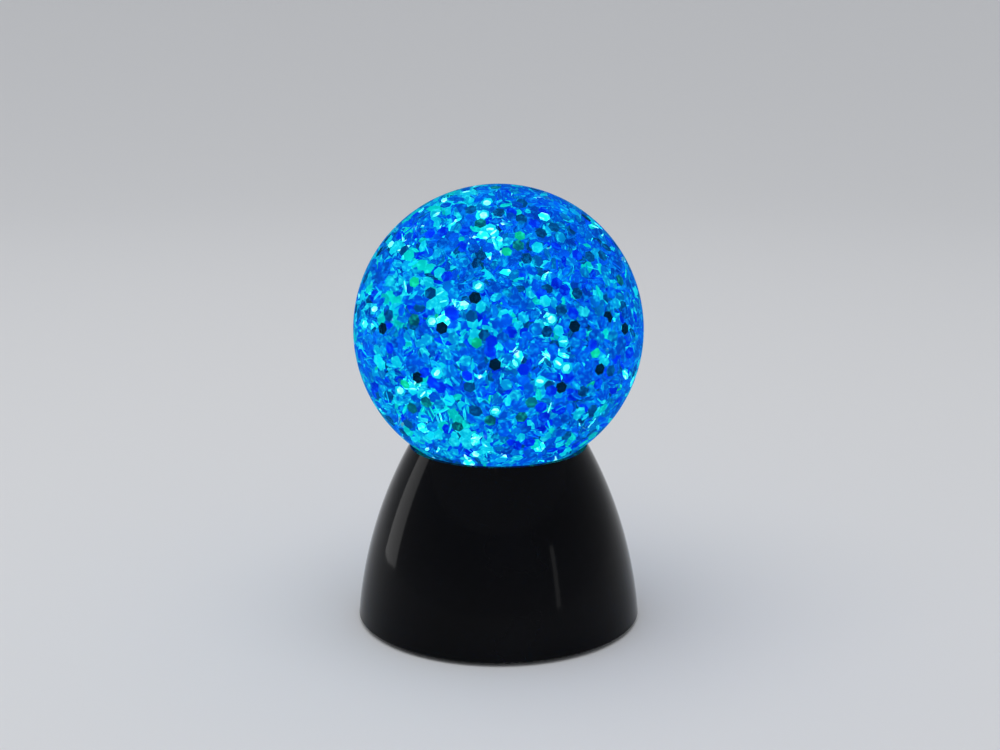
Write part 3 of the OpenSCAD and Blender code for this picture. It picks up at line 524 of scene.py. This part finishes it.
def flake_places():
    """Each flake's film and matrix, spread evenly through the liquid and flat where it meets the wall."""
    chance = random.Random(FLAKE_SEED)
    patches = lit_patches()
    lone = lone_flakes(chance)
    kept_clear = kdtree.KDTree(len(lone))
    found = []
    for i, (name, place, facing, size) in enumerate(lone):
        kept_clear.insert(place, i)
        found.append((name, flake_matrix(place, facing, chance.uniform(0, HEX_TURN), size)))
    kept_clear.balance()
    while len(found) < FLAKE_COUNT:
        out = in_cube(chance) * CAVITY_R
        room = CAVITY_R - FLAKE_CLEAR - FLAKE_T - out.length
        if room < 0:
            continue
        place = GLOBE_MID + out
        side = math.hypot(place.x, place.y)
        if side < POCKET_R + FLAKE_REACH and place.z < POCKET_TOP + FLAKE_REACH:
            continue
        if place.z < LOWEST_FLAKE or kept_clear.find(place)[2] < LONE_ROOM:
            continue
        facing = random_facing(chance)
        steepest = min(1.0, room / FLAKE_R)
        wall = out.normalized()
        tilt = facing - facing.dot(wall) * wall
        if tilt.length > steepest:
            tilt = tilt * (steepest / tilt.length)
            facing = tilt + wall * math.sqrt(max(0.0, 1 - tilt.length_squared))
        found.append((film_at(place, patches, chance),
                      flake_matrix(place, facing, chance.uniform(0, HEX_TURN))))
    return found


def one_flake():
    """A hexagonal film flake, laid flat on its own square of the bake map."""
    shape = bmesh.new()
    bmesh.ops.create_cone(shape, cap_ends=True, cap_tris=False, segments=6, radius1=FLAKE_R,
                          radius2=FLAKE_R, depth=FLAKE_T)
    cell = shape.loops.layers.uv.new("OFBake")
    for face in shape.faces:
        for corner in face.loops:
            corner[cell].uv = corner.vert.co.xy * (CELL_FILL / FLAKE_R) + Vector((0.5, 0.5))
    flake = bpy.data.meshes.new("flake")
    shape.to_mesh(flake)
    shape.free()
    return flake


def flake_piece(name, matrices, flake):
    """All the flakes of one film as one piece, each flake with its own cell of the bake map."""
    shape = bmesh.new()
    row = math.ceil(math.sqrt(len(matrices)))
    for i, matrix in enumerate(matrices):
        copy = flake.copy()
        copy.transform(matrix)
        corner = Vector((i % row, i // row))
        for spot in copy.uv_layers["OFBake"].uv:
            spot.vector = (spot.vector + corner) / row
        shape.from_mesh(copy)
        bpy.data.meshes.remove(copy)
    mesh = bpy.data.meshes.new("glitter_" + name)
    shape.to_mesh(mesh)
    shape.free()
    piece = bpy.data.objects.new("glitter_" + name, mesh)
    bpy.context.scene.collection.objects.link(piece)
    mesh.materials.append(film(name, *FILMS[name][1:]))
    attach(piece, "glitter_liquid")
    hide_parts("glitter_flakes")


def glitter():
    """All the flakes, one piece for each film."""
    found = flake_places()
    flake = one_flake()
    for name in FILMS:
        flake_piece(name, [matrix for kind, matrix in found if kind == name], flake)
    bpy.data.meshes.remove(flake)


def turned(name, shape, steps, place=Matrix()):
    """A solid of revolution from a profile drawn in the XZ plane, then set in its place."""
    bmesh.ops.spin(shape, geom=shape.verts[:] + shape.edges[:], cent=(0, 0, 0), axis=(0, 0, 1),
                   angle=math.tau, steps=steps, use_merge=True)
    bmesh.ops.remove_doubles(shape, verts=shape.verts[:], dist=MERGE_GAP)
    bmesh.ops.recalc_face_normals(shape, faces=shape.faces[:])
    bmesh.ops.transform(shape, matrix=place, verts=shape.verts[:])
    mesh = bpy.data.meshes.new(name)
    shape.to_mesh(mesh)
    shape.free()
    mesh.shade_smooth()
    mesh.set_sharp_from_angle(angle=SHARP_ANGLE)
    piece = bpy.data.objects.new(name, mesh)
    bpy.context.scene.collection.objects.link(piece)
    return piece


def arc(shape, point, angle, steps, middle=GLOBE_MID):
    """Carries a profile on from a point, round the middle of the ball or another middle."""
    bmesh.ops.spin(shape, geom=[point], cent=middle, axis=(0, 1, 0), angle=angle, steps=steps)
    shape.verts.ensure_lookup_table()
    return shape.verts[-1]


def line(shape, point, x, z):
    """Carries a profile on from a point, straight to a radius and a height."""
    end = bmesh.ops.extrude_vert_indiv(shape, verts=[point])["verts"][0]
    end.co = (x, 0, z)
    return end


def globe():
    """The clear ball with its neck, one wall all the way."""
    shape = bmesh.new()
    point = shape.verts.new((0, 0, GLOBE_MID.z + GLOBE_R))
    point = arc(shape, point, math.pi - math.asin(NECK_R / GLOBE_R), steps=96)
    point = line(shape, point, NECK_R, globe_low.z)
    point = line(shape, point, NECK_BORE_R, globe_low.z)
    bore = math.asin(NECK_BORE_R / CAVITY_R)
    point = line(shape, point, NECK_BORE_R, GLOBE_MID.z - CAVITY_R * math.cos(bore))
    arc(shape, point, bore - math.pi, steps=90)
    piece = turned("globe", shape, steps=160)
    mesh = piece.data
    mesh.materials.append(clear_globe())
    mesh.materials.append(clear_liquid("wetted_wall", (0.99, 1.0, 1.0), (0.95, 0.99, 1.0)))
    for face in mesh.polygons:
        out = (face.center - GLOBE_MID).length
        in_neck = face.center.z < GLOBE_MID.z - CAVITY_R
        face.material_index = int(not in_neck and out < GLOBE_R - GLOBE_WALL / 2)
    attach(piece, "lamp_body")
    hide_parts("globe_shell")


def liquid():
    """The liquid that fills the ball up to its wall, hollow round the stirring wheel."""
    radius = CAVITY_R - LIQUID_SLACK
    shape = bmesh.new()
    point = shape.verts.new((0, 0, GLOBE_MID.z + radius))
    point = arc(shape, point, math.pi - math.asin(POCKET_R / radius), steps=72)
    point = line(shape, point, POCKET_R, POCKET_TOP)
    line(shape, point, 0, POCKET_TOP)
    piece = turned("liquid", shape, steps=128)
    piece.data.materials.append(clear_liquid("blue_liquid", (0.24, 0.9, 1.0), (0.16, 0.84, 1.0)))
    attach(piece, "glitter_liquid")
    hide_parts("liquid_fill")


def backwards(low, high):
    """Lays a turned piece down so that it points to the lamp's rear, in the middle of a CAD box."""
    middle = ((low.x + high.x) / 2, 0, (low.z + high.z) / 2)
    return Matrix.Translation(middle) @ Matrix.Rotation(-math.pi / 2, 4, "X")


def push_button(finish):
    """The rear button: flange inside, round shoulder, raised ring and a dished face."""
    low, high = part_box("power_button")
    flange_r, flange_t = (high.x - low.x) / 2, 0.9 * MM
    barrel_r, shoulder = flange_r - 1.0 * MM, 0.8 * MM
    ring_r, dish = barrel_r - 1.3 * MM, 0.45 * MM
    shape = bmesh.new()
    point = shape.verts.new((0, 0, low.y))
    for x, z in ((flange_r, low.y), (flange_r, low.y + flange_t), (barrel_r, low.y + flange_t),
                 (barrel_r, high.y - shoulder)):
        point = line(shape, point, x, z)
    point = arc(shape, point, -math.pi / 2, steps=8, middle=(barrel_r - shoulder, 0, high.y - shoulder))
    point = line(shape, point, ring_r, high.y)
    bowl_r = (ring_r ** 2 + dish ** 2) / (2 * dish)
    arc(shape, point, math.asin(ring_r / bowl_r), steps=12, middle=(0, 0, high.y - dish + bowl_r))
    piece = turned("push_button", shape, steps=96, place=backwards(low, high))
    piece.data.materials.append(finish)
    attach(piece, "power_push")
    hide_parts("power_button")


def inlet_pin(finish):
    """The bright contact pin in the rear socket, with a round tip."""
    low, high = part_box("power_inlet")
    pin_r, root, tip = 0.68 * MM, low.y + 1.5 * MM, high.y - 0.95 * MM
    shape = bmesh.new()
    point = shape.verts.new((0, 0, root))
    point = line(shape, point, pin_r, root)
    point = line(shape, point, pin_r, tip - pin_r)
    arc(shape, point, -math.pi / 2, steps=8, middle=(0, 0, tip - pin_r))
    piece = turned("inlet_pin", shape, steps=32, place=backwards(low, high))
    piece.data.materials.append(finish)
    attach(piece, "lamp_body")


def dress_cad_nodes():
    """Every CAD node that stays gets its slot's finish. Returns the finishes by slot."""
    finishes = {
        "gloss_black": gloss_black(),
        "satin_black": satin_black(),
        "screw_steel": metal("screw_steel", (0.32, 0.32, 0.33), (0.5, 0.5, 0.51), rough=(0.25, 0.4),
                             mark=0.8 * MM),
        "foot_rubber": foot_rubber(),
        "white_plastic": white_plastic(),
        "magnet_steel": metal("magnet_steel", (0.36, 0.36, 0.37), (0.55, 0.55, 0.55), rough=(0.2, 0.34),
                              mark=1.5 * MM),
        "board_green": board_green(),
        "red_light": led_lens("red_light", (0.25, 0.004, 0.004), (0.6, 0.02, 0.015)),
        "green_light": led_lens("green_light", (0.01, 0.2, 0.03), (0.03, 0.55, 0.1)),
        "blue_light": led_lens("blue_light", (0.005, 0.03, 0.3), (0.02, 0.12, 0.7)),
        "motor_metal": metal("motor_metal", (0.4, 0.4, 0.39), (0.56, 0.56, 0.54), rough=(0.28, 0.42),
                             mark=1.0 * MM, stretch=(1, 1, 0.15)),
        "contact_brass": metal("contact_brass", (0.55, 0.36, 0.1), (0.75, 0.52, 0.18), rough=(0.25, 0.4),
                               mark=0.8 * MM),
        "contact_nickel": metal("contact_nickel", (0.5, 0.48, 0.44), (0.66, 0.64, 0.6), rough=(0.2, 0.34),
                                mark=0.8 * MM),
        "cell_jacket": cell_jacket(),
        "red_wire": wire("red_wire", (0.34, 0.01, 0.008), (0.45, 0.016, 0.012)),
        "yellow_wire": wire("yellow_wire", (0.55, 0.36, 0.01), (0.68, 0.46, 0.02)),
        "white_wire": wire("white_wire", (0.62, 0.62, 0.6), (0.74, 0.74, 0.72)),
    }
    for part in frame["record"]["subparts"]:
        node = frame["nodes"][part["node"]]
        finish = finishes.get(part["material_slot"])
        if finish:
            for slot in node.material_slots:
                slot.material = finish
    return finishes


def floor():
    """A pale floor that sweeps up all round like a studio paper, and is seen from above only."""
    flat, sweep, climb = 1.1, 2.4, math.radians(65)
    shape = bmesh.new()
    point = shape.verts.new((0, 0, 0))
    point = line(shape, point, flat, 0)
    arc(shape, point, -climb, steps=24, middle=(flat, 0, sweep))
    ground = turned("floor", shape, steps=96)
    paper = bmesh.new()
    paper.from_mesh(ground.data)
    if sum(face.normal.z for face in paper.faces) < 0:
        bmesh.ops.reverse_faces(paper, faces=paper.faces[:])
    paper.to_mesh(ground.data)
    paper.free()
    finish, tree, shader, _ = new_finish("floor_pale")
    settings(shader, Base_Color=(0.78, 0.785, 0.795), Roughness=0.8, Specular_IOR_Level=0.15)
    clear = tree.nodes.new("ShaderNodeBsdfTransparent")
    side = tree.nodes.new("ShaderNodeNewGeometry")
    mixed(tree, side.outputs["Backfacing"], shader, clear)
    ground.data.materials.append(finish)


def panel(name, place, aim, wide, tall, power, roll=0.0, gloss_only=False):
    """A soft studio lamp, aimed at a point and rolled by some degrees. It may light the gloss alone."""
    lamp = bpy.data.lights.new(name, "AREA")
    lamp.shape = "RECTANGLE"
    lamp.size, lamp.size_y, lamp.energy = wide, tall, power
    stand = bpy.data.objects.new(name, lamp)
    stand.location = place
    stand.visible_diffuse = not gloss_only
    turn = (Vector(aim) - Vector(place)).to_track_quat("-Z", "Y")
    stand.rotation_euler = (turn.to_matrix() @ Matrix.Rotation(math.radians(roll), 3, "Z")).to_euler()
    bpy.context.scene.collection.objects.link(stand)


def studio():
    """A lamp overhead, two strips that show in the gloss of the base, and a plain grey room."""
    panel("overhead", place=(-0.25, -0.3, 1.7), aim=(0, 0, 0.06), wide=2.0, tall=2.0, power=14.0)
    panel("left_strip", place=(-0.382, 0.12, 0.128), aim=(0, 0, 0.128), wide=0.134, tall=0.254,
          power=0.2, roll=8.6, gloss_only=True)
    panel("right_strip", place=(0.72, -0.62, 0.13), aim=(0, 0, 0.13), wide=0.06, tall=0.3,
          power=0.08, gloss_only=True)
    world = bpy.data.worlds.new("studio")
    world.use_nodes = True
    backdrop = world.node_tree.nodes["Background"]
    settings(backdrop, Color=(0.5, 0.51, 0.53), Strength=1.0)
    bpy.context.scene.world = world


def camera():
    """The eye from which the lamp is seen as in the photograph."""
    lens = bpy.data.cameras.new("camera")
    lens.lens = CAMERA_LENS
    lens.sensor_width = 36.0
    lens.clip_start, lens.clip_end = 0.01, 50.0
    eye = bpy.data.objects.new("camera", lens)
    eye.location = CAMERA_PLACE
    eye.rotation_euler = (CAMERA_TILT, 0, 0)
    bpy.context.scene.collection.objects.link(eye)
    bpy.context.scene.camera = eye


camera()
floor()
studio()
slot_finishes = dress_cad_nodes()
push_button(slot_finishes["satin_black"])
inlet_pin(slot_finishes["contact_nickel"])
globe()
liquid()
glitter()

bpy.context.scene.view_settings.view_transform = "Standard"
